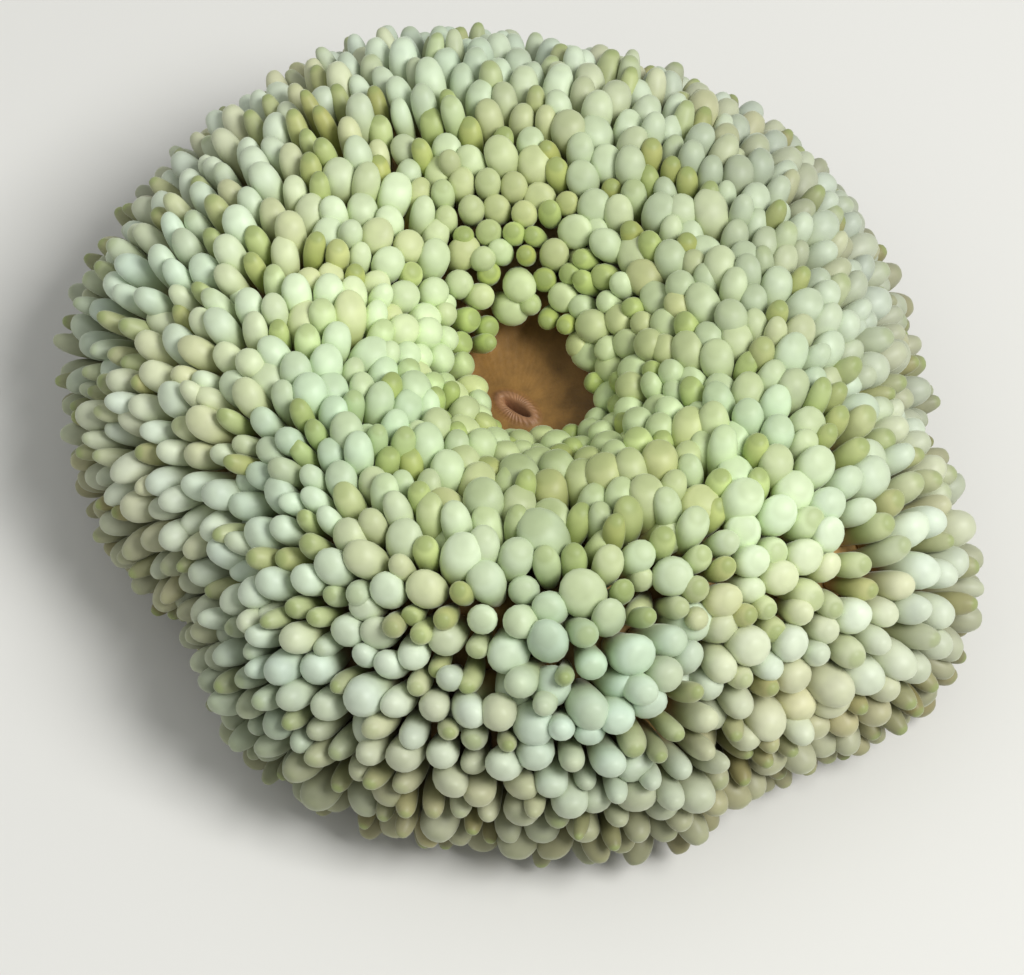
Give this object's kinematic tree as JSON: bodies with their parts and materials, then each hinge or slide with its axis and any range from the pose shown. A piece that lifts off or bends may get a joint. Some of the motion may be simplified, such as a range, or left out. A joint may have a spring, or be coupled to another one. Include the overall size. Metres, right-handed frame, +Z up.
{
  "type": "sea anemone",
  "caption": "Sun anemone with a short column on a flat foot and a wide lobed oral disc, packed with short stout tentacles round a sunken bare mouth.",
  "frame": {"origin": "middle of the pedal disc's flat underside, where the animal stands", "axes": "+Z up, the way the mouth faces; +Y to the back of the animal as it is usually seen; +X to its right"},
  "size_m": [0.1243, 0.1251, 0.0457],
  "materials": {
    "pedal_flesh": "soft wet flesh, satin, tan",
    "column_flesh": "soft flesh, satin, brownish olive with fine lengthwise lines",
    "tentacle_flesh": "soft translucent flesh, satin, pale grey-green to cream with tan bases",
    "peristome_flesh": "soft flesh, satin, orange brown",
    "lip_flesh": "soft flesh, satin, pale tan"
  },
  "bodies": {
    "root": {"pedal_disc": "pedal_flesh", "column": "column_flesh", "disc_lobe_left_front": "tentacle_flesh", "disc_lobe_front": "tentacle_flesh", "disc_lobe_front_right": "tentacle_flesh", "disc_lobe_right_front": "tentacle_flesh", "disc_lobe_right": "tentacle_flesh", "disc_lobe_back_right": "tentacle_flesh", "disc_lobe_back": "tentacle_flesh", "disc_lobe_left_back": "tentacle_flesh", "disc_lobe_left": "tentacle_flesh", "peristome": "peristome_flesh", "mouth_lips": "lip_flesh"}
  },
  "joints": []
}
